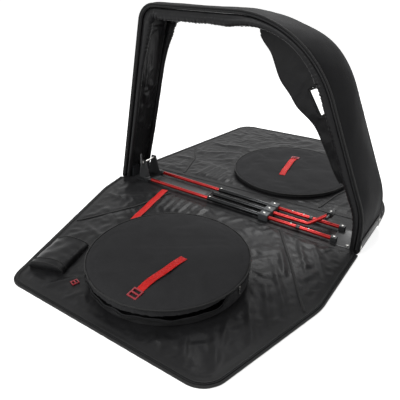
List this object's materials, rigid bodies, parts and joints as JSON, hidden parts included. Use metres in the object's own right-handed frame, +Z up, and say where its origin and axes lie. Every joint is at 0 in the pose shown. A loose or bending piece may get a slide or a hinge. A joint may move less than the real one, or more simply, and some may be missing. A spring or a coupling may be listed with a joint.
{
  "type": "soft bicycle travel bag",
  "caption": "Soft padded travel bag for a complete bicycle, laid open: standing hoop, unzipped side panels with round wheel pockets, and a telescoping stand on its base.",
  "frame": {"origin": "on the floor under the middle of the standing hoop", "axes": "+X towards the fork end of the bag, +Y towards the back panel, +Z up"},
  "size_m": [1.4043, 2.1949, 0.9717],
  "materials": {
    "shell_nylon": "padded nylon, matt, charcoal",
    "lining_nylon": "thin coated nylon, slightly glossy, near black",
    "pocket_nylon": "nylon pocket cloth, matt, near black",
    "binding_tape": "black woven binding tape",
    "zip_tape": "black coil zip on woven tape",
    "zip_metal": "bright nickel-coloured metal",
    "red_webbing": "saturated red woven webbing",
    "red_buckle": "crimson moulded plastic",
    "black_buckle": "black moulded plastic",
    "grey_pad": "grey padded nylon",
    "base_tarpaulin": "coated tarpaulin, charcoal",
    "base_board": "grey plastic stiffening board",
    "black_rail": "black anodised aluminium tube",
    "red_tube": "red anodised aluminium tube",
    "grey_bracket": "dark grey moulded block",
    "black_steel": "black powder-coated steel",
    "dark_plate": "dark grey coated sheet",
    "wheel_rubber": "black moulded wheel"
  },
  "bodies": {
    "bag": {"gusset": "shell_nylon", "gusset_lining": "lining_nylon", "base_tub": "base_tarpaulin", "base_board": "base_board", "base_mat": "lining_nylon", "front_edge_roll": "lining_nylon", "back_edge_roll": "lining_nylon", "front_edge_piping": "binding_tape", "back_edge_piping": "binding_tape", "front_zip_track": "zip_tape", "back_zip_track": "zip_tape", "handlebar_web": "lining_nylon", "fork_end_pad": "grey_pad", "anchor_strap": "red_webbing", "anchor_buckle": "black_buckle", "rear_grab_handle": "binding_tape", "front_wheel_housing": "black_buckle", "back_wheel_housing": "black_buckle", "rail_front": "black_rail", "rail_middle": "black_rail", "rail_rear": "black_rail", "rail_bracket": "grey_bracket", "tube_front_left": "red_tube", "tube_rear_left": "red_tube", "stand_plate": "dark_plate", "rear_axle_stand": "black_steel"},
    "front_panel": {"front_panel_shell": "shell_nylon", "front_panel_lining": "lining_nylon", "front_panel_piping": "binding_tape", "front_panel_zip_track": "zip_tape", "front_pocket_wall": "pocket_nylon", "front_pocket_zip_track": "zip_tape", "tie_strap": "red_webbing", "tool_pouch": "lining_nylon", "pouch_buckle": "red_buckle"},
    "back_panel": {"back_panel_shell": "shell_nylon", "back_panel_lining": "lining_nylon", "back_panel_piping": "binding_tape", "back_panel_zip_track": "zip_tape", "back_pocket_wall": "pocket_nylon", "back_pocket_zip_track": "zip_tape"},
    "front_lid": {"front_pocket_lid": "pocket_nylon", "front_lid_piping": "binding_tape", "front_hub_strap": "red_webbing", "front_hub_buckle": "red_buckle"},
    "back_lid": {"back_pocket_lid": "pocket_nylon", "back_lid_piping": "binding_tape", "back_hub_strap": "red_webbing", "back_hub_buckle": "red_buckle"},
    "front_pocket_slider": {"front_pocket_slider": "zip_metal"},
    "back_pocket_slider": {"back_pocket_slider": "zip_metal"},
    "front_zip_slider": {"front_zip_slider": "zip_metal"},
    "back_zip_slider": {"back_zip_slider": "zip_metal"},
    "stand_extension": {"tube_front_right": "red_tube", "tube_rear_right": "red_tube", "front_foot_plate": "black_steel"},
    "fork_arm": {"fork_arm": "red_tube"},
    "rear_axle_lever": {"rear_axle_lever": "zip_metal"},
    "front_wheel": {"front_wheel": "wheel_rubber"},
    "back_wheel": {"back_wheel": "wheel_rubber"}
  },
  "joints": [
    {"name": "front_panel_fold", "type": "hinge", "parent": "bag", "child": "front_panel", "pos_m": [0, -0.1515, 0.0125], "axis": [-1, 0, 0], "range_deg": [0, 90]},
    {"name": "back_panel_fold", "type": "hinge", "parent": "bag", "child": "back_panel", "pos_m": [0.00151, 0.1056, 0.0125], "axis": [0.9978, 0.0656, 0], "range_deg": [0, 90]},
    {"name": "front_lid_fold", "type": "hinge", "parent": "front_panel", "child": "front_lid", "pos_m": [0.09, -0.3684, 0.0851], "axis": [1, 0, 0], "range_deg": [-80, 0]},
    {"name": "back_lid_fold", "type": "hinge", "parent": "back_panel", "child": "back_lid", "pos_m": [0.1206, 0.12335, 0.0311], "axis": [-0.9978, -0.0656, 0], "range_deg": [-80, 0]},
    {"name": "front_pocket_zip", "type": "hinge", "parent": "front_panel", "child": "front_pocket_slider", "pos_m": [0.09, -0.7045, 0.0848], "axis": [0, 0, -1], "range_deg": [0, 180]},
    {"name": "back_pocket_zip", "type": "hinge", "parent": "back_panel", "child": "back_pocket_slider", "pos_m": [0.09856, 0.45872, 0.0308], "axis": [0, 0, -1], "range_deg": [-180, 0]},
    {"name": "front_zip_travel", "type": "slide", "parent": "bag", "child": "front_zip_slider", "axis": [0, 0, 1], "range_m": [0, 0.05]},
    {"name": "back_zip_travel", "type": "slide", "parent": "bag", "child": "back_zip_slider", "axis": [0, 0, 1], "range_m": [0, 0.05]},
    {"name": "stand_length", "type": "slide", "parent": "bag", "child": "stand_extension", "axis": [1, 0, 0], "range_m": [-0.08, 0]},
    {"name": "fork_arm_turn", "type": "hinge", "parent": "bag", "child": "fork_arm", "pos_m": [0.222, -0.062, 0.0285], "axis": [1, 0, 0], "range_deg": [0, 45]},
    {"name": "axle_lever_turn", "type": "hinge", "parent": "bag", "child": "rear_axle_lever", "pos_m": [-0.55615, -0.1248, 0.1178], "axis": [0, 1, 0], "range_deg": [0, 180]},
    {"name": "front_wheel_spin", "type": "hinge", "parent": "bag", "child": "front_wheel", "pos_m": [-0.6697, -0.091, 0.0322], "axis": [0, 1, 0], "continuous": true},
    {"name": "back_wheel_spin", "type": "hinge", "parent": "bag", "child": "back_wheel", "pos_m": [-0.6697, -0.001, 0.0322], "axis": [0, 1, 0], "continuous": true}
  ]
}
